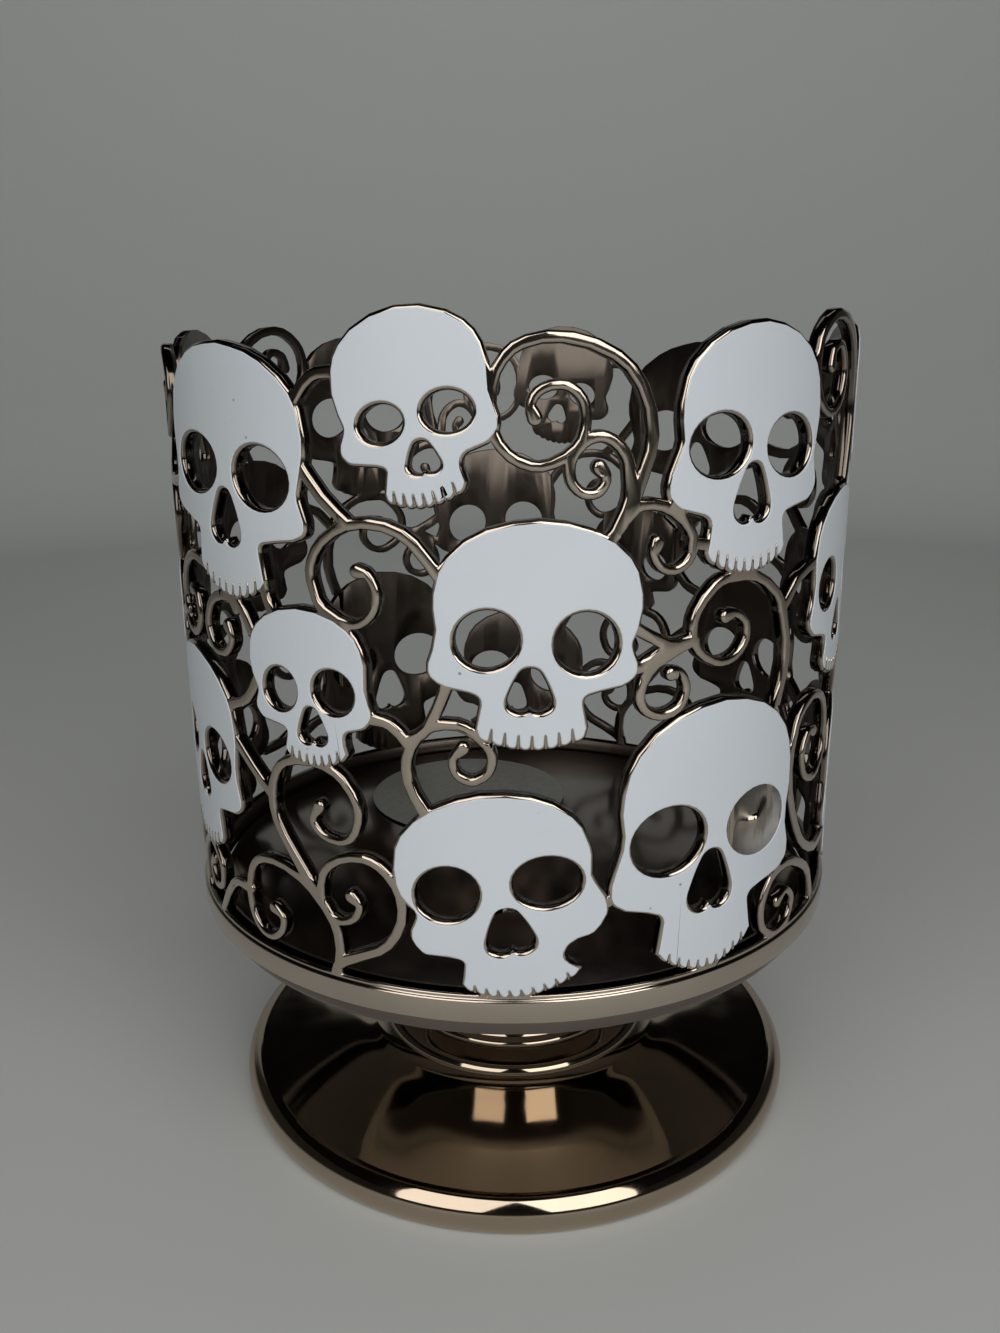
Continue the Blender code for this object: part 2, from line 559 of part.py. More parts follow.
def pedestal():
    top = seat_top()
    seat_under = top - SEAT_THICKNESS
    wall = PEDESTAL_WALL
    crease = FOOT_RADIUS - FOOT_LIP_WIDTH
    bead_out = BEAD_RADIUS + BEAD_SIZE * 0.75
    neck_low = BEAD_HEIGHT + BEAD_SIZE * 1.8
    flare_rise = seat_under - NECK_HEIGHT
    flare_reach = SEAT_RADIUS - NECK_RADIUS
    foot_rise = BEAD_HEIGHT - BEAD_SIZE - FOOT_HEIGHT
    foot_reach = crease - bead_out
    flare = [(NECK_RADIUS + flare_reach * out, NECK_HEIGHT + flare_rise * up)
             for out, up in ((0.62, 0.86), (0.28, 0.57), (0.07, 0.27))]
    foot = [(crease - foot_reach * run, FOOT_HEIGHT + foot_rise * up)
            for run, up in ((0.93, 0.72), (0.78, 0.42), (0.55, 0.19), (0.28, 0.06))]
    outside = [
        (SEAT_RADIUS, top), (SEAT_RADIUS, seat_under + wall * 0.2), *flare,
        (NECK_RADIUS, NECK_HEIGHT), (NECK_RADIUS + NECK_RING, NECK_HEIGHT - NECK_RING * 2.2),
        (NECK_RADIUS + NECK_RING * 0.5, NECK_HEIGHT - NECK_RING * 3.8),
        (NECK_RADIUS + NECK_RING * 1.8, neck_low + NECK_RING * 0.5),
        (NECK_RADIUS + NECK_RING * 2.5, neck_low - NECK_RING * 0.7),
        (BEAD_RADIUS, BEAD_HEIGHT + BEAD_SIZE), (BEAD_RADIUS + BEAD_SIZE, BEAD_HEIGHT),
        (bead_out, BEAD_HEIGHT - BEAD_SIZE * 0.8), *foot,
        (crease, FOOT_HEIGHT), (crease + FOOT_LIP_WIDTH * 0.2, FOOT_HEIGHT * 0.92),
        (FOOT_RADIUS - FOOT_LIP_WIDTH * 0.3, FOOT_HEIGHT * 0.72),
        (FOOT_RADIUS - FOOT_LIP_WIDTH * 0.06, FOOT_HEIGHT * 0.42), (FOOT_RADIUS, FOOT_HEIGHT * 0.16),
        (FOOT_RADIUS - FOOT_LIP_WIDTH * 0.08, 0.0),
    ]
    inside = [
        (FOOT_RADIUS - wall, 0.0), (FOOT_RADIUS - wall * 1.3, FOOT_HEIGHT * 0.4),
        (crease - wall * 0.5, FOOT_HEIGHT - wall), (crease - foot_reach * 0.5, FOOT_HEIGHT - wall * 0.8),
        (bead_out, BEAD_HEIGHT - BEAD_SIZE - wall), (NECK_RADIUS, BEAD_HEIGHT - wall * 0.6),
        (NECK_RADIUS - wall, NECK_HEIGHT - NECK_RING * 3.8), (flare[2][0] - wall, flare[2][1]),
        (flare[1][0] - wall, flare[1][1] - wall * 0.4), (flare[0][0] - wall * 1.1, flare[0][1] - wall * 0.8),
        (SEAT_RADIUS - wall * 2.4, seat_under),
        (BOSS_RADIUS + FIT_GAP, seat_under), (BOSS_RADIUS + FIT_GAP, top),
    ]
    mesh = turned_mesh("pedestal", outside + inside, TURNED_STEPS)
    mesh_object("pedestal", mesh, holder, material("gunmetal_pedestal", (0.24, 0.20, 0.17), 0.12, 1.0))


def zinc_steel():
    return bpy.data.materials.get("zinc_steel") or material("zinc_steel", (0.54, 0.54, 0.52), 0.33, 1.0)


def washer_low():
    return seat_top() - SEAT_THICKNESS - FIT_GAP - WASHER_THICKNESS


def washer():
    low = washer_low()
    hole = SCREW_RADIUS + FIT_GAP
    profile = [(hole, low + WASHER_THICKNESS), (WASHER_RADIUS, low + WASHER_THICKNESS), (WASHER_RADIUS, low),
               (hole, low)]
    mesh = turned_mesh("washer", profile, TURNED_STEPS)
    mesh_object("washer", mesh, holder, zinc_steel())


def screw():
    head_top = washer_low() - FIT_GAP
    head_low = head_top - SCREW_HEAD_HEIGHT
    tip = FLOOR_TOP - FLOOR_THICKNESS - BOSS_HEIGHT + THREAD_DEPTH - FIT_GAP
    ease = SCREW_HEAD_RADIUS * 0.25
    socket = SCREW_HEAD_RADIUS * 0.5
    profile = [(0, tip), (SCREW_RADIUS - ease * 0.4, tip), (SCREW_RADIUS, tip - ease * 0.5),
               (SCREW_RADIUS, head_top), (SCREW_HEAD_RADIUS, head_top),
               (SCREW_HEAD_RADIUS, head_low + ease), (SCREW_HEAD_RADIUS - ease, head_low),
               (socket, head_low), (socket, head_low + SCREW_HEAD_HEIGHT * 0.5),
               (0, head_low + SCREW_HEAD_HEIGHT * 0.5)]
    mesh = turned_mesh("centre_screw", profile, SCREW_STEPS)
    mesh_object("centre_screw", mesh, holder, zinc_steel())


clear_scene()
sleeve()
enamel()
tray()
label()
pedestal()
washer()
screw()
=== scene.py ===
# Looks of a pedestal candle holder: a pierced sleeve of white enamelled skulls and scrolls on a turned foot.
# Metres in the finished pieces, millimetres in the settings and in the flat drawing of the sleeve.

import json
import math

import bmesh
import bpy
from mathutils import Matrix, Vector

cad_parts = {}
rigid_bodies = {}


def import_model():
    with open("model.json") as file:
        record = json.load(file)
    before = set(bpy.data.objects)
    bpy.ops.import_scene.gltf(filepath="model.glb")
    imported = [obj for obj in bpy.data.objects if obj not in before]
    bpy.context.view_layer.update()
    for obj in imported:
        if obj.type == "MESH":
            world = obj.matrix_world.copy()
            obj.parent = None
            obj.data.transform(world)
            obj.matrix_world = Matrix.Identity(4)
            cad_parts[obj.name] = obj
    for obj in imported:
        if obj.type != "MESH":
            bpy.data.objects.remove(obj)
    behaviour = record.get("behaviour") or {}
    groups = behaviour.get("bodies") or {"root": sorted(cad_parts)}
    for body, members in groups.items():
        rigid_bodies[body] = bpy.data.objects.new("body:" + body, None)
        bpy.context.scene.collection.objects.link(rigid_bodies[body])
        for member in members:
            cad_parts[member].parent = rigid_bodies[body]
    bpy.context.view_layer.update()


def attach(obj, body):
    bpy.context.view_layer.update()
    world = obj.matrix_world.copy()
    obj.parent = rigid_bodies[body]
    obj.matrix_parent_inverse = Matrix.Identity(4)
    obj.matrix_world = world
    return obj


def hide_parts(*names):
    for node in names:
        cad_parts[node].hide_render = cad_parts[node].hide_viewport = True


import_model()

mm = 0.001


# helpers for meshes
def linked(name, data):
    thing = bpy.data.objects.new(name, data)
    bpy.context.scene.collection.objects.link(thing)
    return thing


def meshOf(thing, name):
    bpy.context.view_layer.update()
    evaluated = thing.evaluated_get(bpy.context.evaluated_depsgraph_get())
    mesh = bpy.data.meshes.new_from_object(evaluated)
    mesh.name = name
    mesh.transform(thing.matrix_world)
    bpy.data.objects.remove(thing, do_unlink=True)
    return mesh


def smoothPath(points, steps, closed=False):
    knots = [Vector(point) for point in points]
    if closed:
        knots = [knots[-1]] + knots + knots[:2]
    else:
        knots = [2 * knots[0] - knots[1]] + knots + [2 * knots[-1] - knots[-2]]
    path = []
    for index in range(1, len(knots) - 2):
        before, start, end, after = knots[index - 1:index + 3]
        for step in range(steps):
            t = step / steps
            path.append(0.5 * (2 * start + (end - before) * t + (2 * before - 5 * start + 4 * end - after) * t ** 2
                               + (3 * start - before - 3 * end + after) * t ** 3))
    if not closed:
        path.append(knots[-2])
    return path


def thinned(path, turn, reach):
    # keeps a point wherever the path has turned or run far enough since the last kept one
    kept = [path[0]]
    heading = (path[1] - path[0]).normalized()
    for here, ahead in zip(path[1:], path[2:]):
        along = (ahead - here).normalized()
        bent = math.degrees(math.acos(max(-1.0, min(1.0, along.dot(heading)))))
        if bent > turn or (here - kept[-1]).length > reach:
            kept.append(here)
            heading = along
    return kept + [path[-1]]


def flatSlab(name, outlines, low, high):
    # a filled flat curve made a mesh, with its place in millimetres turned to metres
    curve = bpy.data.curves.new(name, "CURVE")
    curve.dimensions = "2D"
    curve.fill_mode = "BOTH"
    curve.extrude = (high - low) / 2 * mm
    for outline in outlines:
        spline = curve.splines.new("POLY")
        spline.points.add(len(outline) - 1)
        for point, place in zip(spline.points, outline):
            point.co = (place.x * mm, place.y * mm, 0.0, 1.0)
        spline.use_cyclic_u = True
    drawn = linked(name, curve)
    drawn.location.z = (low + high) / 2 * mm
    mesh = meshOf(drawn, name)
    form = bmesh.new()
    form.from_mesh(mesh)
    bmesh.ops.remove_doubles(form, verts=form.verts, dist=0.001 * mm)
    form.to_mesh(mesh)
    form.free()
    return mesh


def finished(name, form, finish, nodes=(), sharp=None):
    mesh = bpy.data.meshes.new(name)
    form.to_mesh(mesh)
    form.free()
    mesh.shade_smooth()
    if sharp:
        mesh.set_sharp_from_angle(angle=math.radians(sharp))
    piece = linked(name, mesh)
    mesh.materials.append(finish)
    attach(piece, "root")
    if nodes:
        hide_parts(*nodes)
    print(name, len(mesh.polygons), "faces")
    return piece


class Socket:
    # wraps an output socket, so that shader maths reads as Python expressions
    def __init__(self, tree, output):
        self.tree = tree
        self.output = output

    def math(self, operation, *others):
        return self.tree.node("ShaderNodeMath", {"operation": operation}, [self, *others])

    def __add__(self, other):
        return self.math("ADD", other)

    def __radd__(self, other):
        return self.math("ADD", other)

    def __sub__(self, other):
        return self.math("SUBTRACT", other)

    def __rsub__(self, other):
        return self.tree.node("ShaderNodeMath", {"operation": "SUBTRACT"}, [other, self])

    def __mul__(self, other):
        return self.math("MULTIPLY", other)

    def __rmul__(self, other):
        return self.math("MULTIPLY", other)

    def __truediv__(self, other):
        return self.math("DIVIDE", other)

    def __pow__(self, other):
        return self.math("POWER", other)

    def __gt__(self, other):
        return self.math("GREATER_THAN", other)

    def clipped(self):
        return self.tree.node("ShaderNodeClamp", {}, {"Value": self})

    def ramp(self, low, high):
        # 0 below low, 1 above high, smooth between
        settings = {"interpolation_type": "SMOOTHSTEP"}
        return self.tree.node("ShaderNodeMapRange", settings, {"Value": self, "From Min": low, "From Max": high})


class Finish:
    def __init__(self, name):
        self.material = bpy.data.materials.new(name)
        self.material.use_nodes = True
        self.nodes = self.material.node_tree.nodes
        self.links = self.material.node_tree.links
        self.shader = self.nodes["Principled BSDF"]
        self.place = self.node("ShaderNodeTexCoord", {}, {}, "Object")

    def node(self, kind, settings, values, result=0):
        # settings are set first, then values or links of the inputs, by name or in order
        made = self.nodes.new(kind)
        stops = settings.pop("stops", None) if settings else None
        for key, value in settings.items():
            setattr(made, key, value)
        if stops:
            for index, (at, colour) in enumerate(stops):
                stop = made.color_ramp.elements[index] if index < 2 else made.color_ramp.elements.new(at)
                stop.position = at
                stop.color = (*colour, 1.0)
        pairs = values.items() if isinstance(values, dict) else enumerate(values)
        for key, value in pairs:
            if isinstance(value, Socket):
                self.links.new(value.output, made.inputs[key])
            else:
                made.inputs[key].default_value = value
        return Socket(self, made.outputs[result])

    def noise(self, scale, detail=3.0, roughness=0.55, vector=None):
        values = {"Vector": vector or self.place, "Scale": scale, "Detail": detail, "Roughness": roughness}
        return self.node("ShaderNodeTexNoise", {}, values, "Fac")

    def cells(self, scale, vector=None):
        return self.node("ShaderNodeTexVoronoi", {}, {"Vector": vector or self.place, "Scale": scale}, "Distance")

    def stretched(self, x, y, z):
        return self.node("ShaderNodeMapping", {}, {"Vector": self.place, "Scale": (x, y, z)})

    def parts(self):
        made = self.nodes.new("ShaderNodeSeparateXYZ")
        self.links.new(self.place.output, made.inputs[0])
        return [Socket(self, output) for output in made.outputs]

    def mixed(self, factor, low, high):
        made = self.nodes.new("ShaderNodeMix")
        made.data_type = "RGBA"
        for key, value in ((0, factor), (6, low), (7, high)):
            if isinstance(value, Socket):
                self.links.new(value.output, made.inputs[key])
            else:
                made.inputs[key].default_value = (*value, 1.0) if isinstance(value, tuple) else value
        return Socket(self, made.outputs[2])

    def bump(self, height, strength, distance):
        values = {"Height": height, "Strength": strength, "Distance": distance}
        return self.node("ShaderNodeBump", {}, values)

    def set(self, **inputs):
        for key, value in inputs.items():
            target = self.shader.inputs[key.replace("_", " ")]
            if isinstance(value, Socket):
                self.links.new(value.output, target)
            elif isinstance(value, tuple):
                target.default_value = (*value, 1.0)
            else:
                target.default_value = value
        return self.material


print("helpers ready")


metalFinish = {
    "bright": (0.55, 0.475, 0.40),  # plated face
    "dull": (0.50, 0.43, 0.36),  # where the plating has lost some shine
    "roughness": 0.10,
    "patchScale": 55.0,
    "hazeScale": 160.0,
}


def platedMetal(name, bright, dull, roughness, innerRadius=None):
    finish = Finish(name)
    patches = finish.noise(metalFinish["patchScale"], 4.0)
    haze = finish.noise(metalFinish["hazeScale"], 5.0)
    specks = finish.cells(900.0).ramp(0.06, 0.02) * finish.noise(70.0).ramp(0.55, 0.7)
    colour = finish.mixed(patches.ramp(0.35, 0.7), bright, dull)
    colour = finish.mixed(specks * 0.5, colour, (0.10, 0.085, 0.075))
    rough = roughness + haze.ramp(0.4, 0.75) * 0.04 + specks * 0.15
    height = haze * 0.5 + finish.noise(700.0, 2.0) * 0.5
    if innerRadius:
        x, y, z = finish.parts()
        square = x * x + y * y
        inner = square.ramp(((innerRadius + 0.3) * mm) ** 2, (innerRadius * mm) ** 2)
        # painted reflection and shade: below a radius of 54.56 mm the colour darkens nearly to black, a painted dark
        # reflection on the rounded front edges and painted shade on the side walls and the inner face behind the front
        edge = square.ramp((54.56 * mm) ** 2, (54.24 * mm) ** 2)
        colour = finish.mixed(edge * 0.88, colour, (0.085, 0.07, 0.06))
        rough = rough + inner * 0.20
    return finish.set(Base_Color=colour, Metallic=1.0, Roughness=rough, Normal=finish.bump(height, 0.02, 0.0001))


sleeveMetal = platedMetal("sleeveMetal", metalFinish["bright"], metalFinish["dull"], metalFinish["roughness"], 53.1)
footMetal = platedMetal("footMetal", (0.48, 0.395, 0.305), (0.45, 0.37, 0.285), 0.06)
trayMetal = platedMetal("trayMetal", (0.21, 0.18, 0.155), (0.19, 0.16, 0.14), 0.15)
zincSteel = platedMetal("zincSteel", (0.56, 0.56, 0.54), (0.46, 0.46, 0.45), 0.3)

enamelFinish = {
    "white": (0.72, 0.785, 0.85),
    "shade": (0.69, 0.755, 0.825),
    "scuff": (0.62, 0.66, 0.70),
    "speck": (0.20, 0.20, 0.21),
}


def whiteEnamel():
    finish = Finish("whiteEnamel")
    cloud = finish.noise(38.0, 2.0)
    colour = finish.mixed(cloud.ramp(0.3, 0.7), enamelFinish["white"], enamelFinish["shade"])
    wipes = finish.noise(60.0, 4.0, vector=finish.stretched(1.0, 1.0, 7.0)).ramp(0.62, 0.74)
    colour = finish.mixed(wipes * 0.12, colour, enamelFinish["scuff"])
    specks = finish.cells(330.0).ramp(0.085, 0.05) * finish.noise(45.0, 2.0).ramp(0.56, 0.64)
    colour = finish.mixed(specks * 0.8, colour, enamelFinish["speck"])
    rough = 0.34 + wipes * 0.12 + cloud * 0.06
    height = finish.noise(220.0, 2.0) + specks * 0.4
    return finish.set(Base_Color=colour, Roughness=rough, Coat_Weight=0.25, Coat_Roughness=0.16,
                      Normal=finish.bump(height, 0.06, 0.0001))


def labelPaper():
    finish = Finish("labelPaper")
    fibres = finish.noise(900.0, 4.0)
    stain = finish.noise(60.0, 3.0)
    # partly painted shade: the paper's grey is set dark partly as its own grey tone and partly to stand in for the
    # shade inside the sleeve
    colour = finish.mixed(fibres.ramp(0.3, 0.7), (0.27, 0.28, 0.265), (0.32, 0.33, 0.315))
    colour = finish.mixed(stain.ramp(0.5, 0.8) * 0.4, colour, (0.23, 0.23, 0.215))
    return finish.set(Base_Color=colour, Roughness=0.50, Normal=finish.bump(fibres, 0.2, 0.00005))


enamelWhite = whiteEnamel()
paper = labelPaper()
print("finishes ready")


# u runs along the wall and v up from the band's lower edge, both in millimetres. The drawing covers half the
# wall and is repeated behind.
sleeveSet = {
    "radius": 55.0,
    "bottom": 40.3,
    "bandHeight": 4.2,
    "bandInner": 52.2,
    "front": 54.62,  # radius of the metal's flat front
    "back": 52.75,
    "edge": ((0.04, 0.20), (0.12, 0.22), (0.20, 0.14), (0.16, 0.03)),  # steps of a rounded front edge, in and up
    "backEdge": ((0.10, 0.10),),
    "facets": 88,  # flat strips in half the wall
    "turn": 13.0,  # a drawn curve keeps a point for each such turn in degrees
    "reach": 3.0,
}
drawnPeriod = math.pi * 55.0
windowMargin = 7.0

strandSet = {"root": 1.8, "tip": 1.3, "eye": 1.95, "link": 1.7, "eyeLength": 1.5}

# Each skull: the heights of its chin and crown and its lean in degrees, then its left and right sides at the head,
# cheeks, neck of the jaw and jaw, the height share of the cheeks' underside, its eyes (middle, half width, half
# height), its nose (middle, foot, top, half width), and the number and height of the slits between its teeth and
# how far the outer teeth stand above the middle ones.
skulls = [
    dict(chin=56.9, crown=90.8, lean=-4, head=(-60.1, -27.3), cheek=(-60.7, -27.8), neck=(-51.9, -36.2),
         jaw=(-52.2, -35.5), shelf=0.27, eyes=((-51.2, 74.7, 6.0, 4.0), (-35.7, 73.5, 5.1, 4.1)),
         nose=(-43.8, 64.2, 71.5, 3.5), teeth=(8, 2.0, 2.7)),
    dict(chin=70.8, crown=94.2, lean=9, head=(-23.3, -2.9), cheek=(-22.3, -1.6), neck=(-16.2, -6.2),
         jaw=(-16.4, -5.6), shelf=0.25, eyes=((-16.6, 80.6, 2.9, 2.3), (-8.1, 82.1, 3.1, 2.5)),
         nose=(-11.2, 74.8, 78.6, 2.0), teeth=(7, 1.7, 1.4)),
    dict(chin=60.8, crown=92.6, lean=-1, head=(20.8, 47.5), cheek=(19.3, 47.3), neck=(25.7, 39.6),
         jaw=(25.2, 40.1), shelf=0.255, eyes=((27.3, 77.4, 4.6, 3.9), (40.3, 76.8, 4.75, 3.9)),
         nose=(33.0, 67.5, 74.8, 3.05), teeth=(8, 2.0, 2.2)),
    dict(chin=35.2, crown=57.2, lean=3, head=(-40.5, -19.7), cheek=(-39.6, -19.0), neck=(-33.7, -23.4),
         jaw=(-34.1, -23.0), shelf=0.245, eyes=((-34.3, 45.3, 3.0, 3.0), (-25.1, 46.0, 3.1, 3.0)),
         nose=(-28.8, 38.4, 43.3, 2.25), teeth=(7, 1.7, 1.6)),
    dict(chin=39.8, crown=69.3, lean=-1, head=(-10.8, 16.8), cheek=(-11.6, 16.2), neck=(-4.9, 9.0),
         jaw=(-5.5, 9.5), shelf=0.26, eyes=((-3.7, 54.2, 4.1, 3.9), (9.1, 53.5, 4.1, 4.1)),
         nose=(1.8, 44.6, 50.5, 2.9), teeth=(7, 2.0, 1.5)),
    dict(chin=41.3, crown=70.0, lean=0, head=(49.0, 75.0), cheek=(48.3, 75.7), neck=(55.2, 68.8),
         jaw=(54.7, 69.3), shelf=0.255, eyes=((55.2, 55.9, 3.8, 3.7), (68.8, 55.9, 3.8, 3.7)),
         nose=(62.0, 46.6, 52.2, 2.9), teeth=(7, 2.0, 2.0)),
    dict(chin=14.8, crown=47.2, lean=-2, head=(-74.3, -45.3), cheek=(-75.4, -45.0), neck=(-68.0, -52.9),
         jaw=(-68.5, -52.4), shelf=0.26, eyes=((-67.2, 31.6, 4.9, 3.9), (-52.8, 31.1, 4.9, 3.9)),
         nose=(-60.0, 23.0, 29.4, 3.1), teeth=(8, 2.0, 2.3)),
    dict(chin=4.1, crown=33.6, lean=8, head=(-17.3, 10.3), cheek=(-15.0, 12.7), neck=(-7.6, 6.8),
         jaw=(-7.9, 9.1), shelf=0.235, eyes=((-9.6, 19.0, 4.4, 4.0), (4.1, 21.0, 4.65, 3.7)),
         nose=(-1.1, 10.5, 17.1, 3.3), teeth=(9, 1.2, 2.2)),
    dict(chin=4.2, crown=44.2, lean=-1, head=(13.9, 45.6), cheek=(12.5, 45.9), neck=(20.4, 36.6),
         jaw=(19.7, 37.3), shelf=0.265, eyes=((21.5, 25.0, 5.65, 4.9), (37.3, 24.6, 5.7, 4.9)),
         nose=(28.6, 13.4, 22.2, 3.7), teeth=(9, 1.5, 3.4)),
    dict(chin=65.6, crown=93.2, lean=4, head=(67.9, 91.5), cheek=(68.0, 92.6), neck=(74.8, 86.8),
         jaw=(74.3, 87.3), shelf=0.255, eyes=((74.3, 79.0, 3.9, 3.3), (85.7, 79.8, 3.9, 3.3)),
         nose=(80.7, 71.2, 76.4, 2.5), teeth=(7, 1.8, 1.8)),
    dict(chin=4.2, crown=34.6, lean=-5, head=(64.9, 90.9), cheek=(63.5, 90.7), neck=(69.7, 83.1),
         jaw=(69.2, 83.6), shelf=0.25, eyes=((70.9, 20.2, 4.3, 3.8), (84.1, 19.0, 4.3, 3.8)),
         nose=(76.7, 11.0, 16.8, 2.9), teeth=(8, 1.4, 2.2)),
    dict(chin=38.4, crown=58.6, lean=5, head=(83.0, 101.4), cheek=(83.1, 102.5), neck=(88.3, 98.1),
         jaw=(88.0, 98.4), shelf=0.25, eyes=((88.2, 47.6, 2.9, 2.7), (96.8, 48.4, 2.9, 2.7)),
         nose=(93.2, 41.8, 45.8, 2.0), teeth=(7, 1.6, 1.4)),
]

# one side of a skull from crown to jaw corner: the level whose half span counts, the share of it, and the height
# as a share of the skull's, for the three places near the cheeks' underside counted from there
skullSide = [("head", 0.0, 1.0), ("head", 0.37, 0.977), ("head", 0.70, 0.908), ("head", 0.92, 0.80),
             ("head", 1.0, 0.655), ("head", 0.97, 0.54), ("cheek", 0.945, 0.455), ("cheek", 1.0, 0.38),
             ("cheek", 0.985, 0.315), ("cheek", 0.86, 0.01), ("cheek", 0.69, -0.005), ("neck", 1.03, -0.03),
             ("neck", 1.0, -0.08), ("jaw", 1.0, 0.095)]
headLevel = 0.655
shelfReach = 0.05

scrolls = [
    [(-9, 61.3), (-12.7, 66.1), (-16.1, 68.1), (-20, 68.5), (-23.4, 67.6), (-26.4, 65.3), (-27.9, 62.3),
     (-27.5, 59.4), (-26.4, 57.4), (-23.4, 55.7), (-20.8, 55.5), (-18.7, 57.2), (-18.1, 59.8), (-19.1, 61.9),
     (-20.8, 62.4)],
    [(11.5, 65.8), (14, 69), (15.6, 72.7), (16.9, 76), (17.4, 79.3), (16.7, 83), (14.5, 86.7), (11.2, 89),
     (7, 90.3), (3.3, 90.4), (0, 89.3), (-2.1, 86.9), (-2.9, 83.9), (-2.7, 80.6), (-1.9, 78.3), (0, 76.4),
     (2.8, 75.5), (5.6, 76.2), (7.9, 78), (8.8, 80.6), (8.4, 83.2), (6.7, 84.8), (4.6, 85), (2.8, 84.2),
     (2, 82.8), (2.5, 81.2)],
    [(12.6, 67), (14.4, 71), (14.5, 74), (14.1, 76.3), (12.6, 78.2), (10.5, 79), (8.4, 78.2), (6.9, 76.1),
     (7, 73.7), (8.5, 72.2), (10.4, 72.3), (11.4, 73.9), (10.5, 75.3)],
    [(13.6, 68.6), (15.6, 70.4), (18.4, 70.5), (21, 69.3), (23.1, 67.2), (23.7, 65.1), (22.9, 63.1),
     (21, 62.1), (19.1, 62.6), (18, 64.2), (18.4, 65.8)],
    [(40.6, 40.8), (42.4, 46), (42.4, 50), (41.5, 53.1), (40.1, 56.4), (37.3, 58.8), (34.5, 60.1),
     (31.3, 60.4), (28.2, 60), (25.7, 58), (24.2, 55.4), (24.3, 52.6), (25.8, 50.5), (28.7, 49.1),
     (31.5, 49.6), (33.3, 51.6), (33.2, 54), (31.3, 55.4), (29.4, 55.2)],
    [(24.3, 52.8), (21.5, 51.6), (18.6, 50.1), (16.9, 47.9), (16.5, 45.6), (17.6, 43.8), (19.9, 43.0),
     (22.4, 43.9), (23.4, 46.2), (22.6, 48.3), (21.0, 48.5)],
    [(-12, 30), (-14.3, 34), (-14.7, 37.6), (-13.3, 40.8), (-11, 42.6), (-7.8, 42.9), (-5.2, 41.6),
     (-3.3, 39.3), (-3.6, 36.7), (-5.7, 35.3), (-7.8, 36.1), (-8.4, 38.2), (-7, 39.8)],
    [(-29.5, 15.4), (-32.8, 19.6), (-35.3, 22.6), (-37.2, 25.6), (-37.7, 29), (-36.6, 32.6), (-34.1, 34.8),
     (-29.4, 35.6), (-25.5, 34.6), (-23, 32), (-22.1, 29), (-23, 26), (-25.1, 24.6), (-28.1, 25),
     (-29.8, 26.9), (-28.6, 29.2)],
    [(-27.4, 3), (-26.6, 5.5), (-23, 7.6), (-19.5, 9.3), (-17.4, 11.5), (-16.1, 14.8), (-16.6, 18.7),
     (-19, 21.7), (-22.1, 22.7), (-25.9, 21.7), (-28.5, 19.2), (-29.1, 15.8), (-28, 13.2), (-25.6, 12.4),
     (-23.4, 13.5), (-22.7, 15.4), (-24, 16.6)],
    [(-27.6, 2.5), (-26.3, 7), (-26.7, 11), (-28.5, 14), (-31.9, 17), (-36.2, 18.5), (-40.5, 18.3),
     (-43.4, 16.6), (-44.9, 13.6), (-45.2, 10.2), (-44.3, 7.6), (-42.2, 5.9), (-39.6, 5.9), (-37.6, 7.6),
     (-37.2, 9.8), (-39.2, 10.8)],
    [(-39.6, 52), (-42, 55.5), (-46, 56.6), (-50.3, 55.2), (-52.4, 51.5), (-50.5, 48.3), (-47, 48.2),
     (-45, 50.3), (-46, 52.3)],
    [(-51.6, 60.5), (-57, 61), (-62, 58.5), (-64.5, 54), (-62.5, 50), (-58.5, 49), (-55.6, 51.5),
     (-56.3, 55), (-58.8, 55.5)],
    [(59, 3), (56, 9.5), (51.3, 13), (46.5, 14.7), (42.3, 13.7), (40.1, 9.8), (40.8, 6), (44, 4), (48, 5),
     (49.2, 8), (47, 10), (44.5, 9)],
    [(65, 13), (58.5, 12.9), (53, 15.4), (49.8, 18.6), (47, 23.9), (45.8, 28.2), (46, 33), (48, 37.5),
     (52.5, 39.5), (57.5, 38), (60.3, 33.5), (59.4, 28.6), (55.5, 26), (51.2, 27.3), (49.7, 31),
     (51.6, 34), (54, 33.6)],
    [(62.5, 68.5), (65.3, 73.5), (66.9, 79), (66.2, 85), (62.5, 90), (57, 93), (51.5, 93.2), (47.4, 90.4),
     (46.4, 86), (48.2, 82), (52, 80.4), (56, 82.3), (57.2, 86.3), (54.9, 89.4), (51.8, 88.8),
     (51.2, 86.6)],
    [(74.4, 56), (77.5, 61.2), (81, 64.8), (85.5, 65.6), (89, 63), (89.9, 58.8), (87.3, 55.2),
     (83.3, 54.6), (80.5, 57), (81.2, 60.3), (83.7, 60.6)],
    [(87.6, 42.2), (82.5, 44.6), (77, 45.2), (72.6, 42.8), (71.2, 38.5), (74.3, 34.8), (78.4, 35.6),
     (79.6, 39), (77.2, 40.7)],
    [(95.6, 57), (100, 60), (103.3, 63.6), (102.8, 68.2), (99, 70.4), (95.2, 68.2), (94.5, 64.4),
     (97, 62.3), (98.9, 64)],
    [(94.5, 2.8), (91.8, 8), (91.7, 13.6), (94.5, 17.6), (98.8, 17.5), (101.8, 14.2), (101.2, 9.8),
     (97.9, 8.4), (95.5, 10.4), (96.8, 13)],
    [(-66, 2.8), (-66.5, 8.6), (-64, 13), (-59.5, 14.8), (-55.4, 12.4), (-55.6, 8.6), (-59, 7.3),
     (-61.4, 9.6), (-59.6, 11.4)],
    [(114.5, 72), (107, 70.8), (101, 71.2), (95.2, 74.6), (92.4, 80.5), (94.4, 86), (99, 89.6),
     (104.4, 89.4), (108, 85.4), (107.4, 80.4), (103.8, 77.7), (99.8, 78.8), (98.8, 82.6), (101, 84.6)],
]

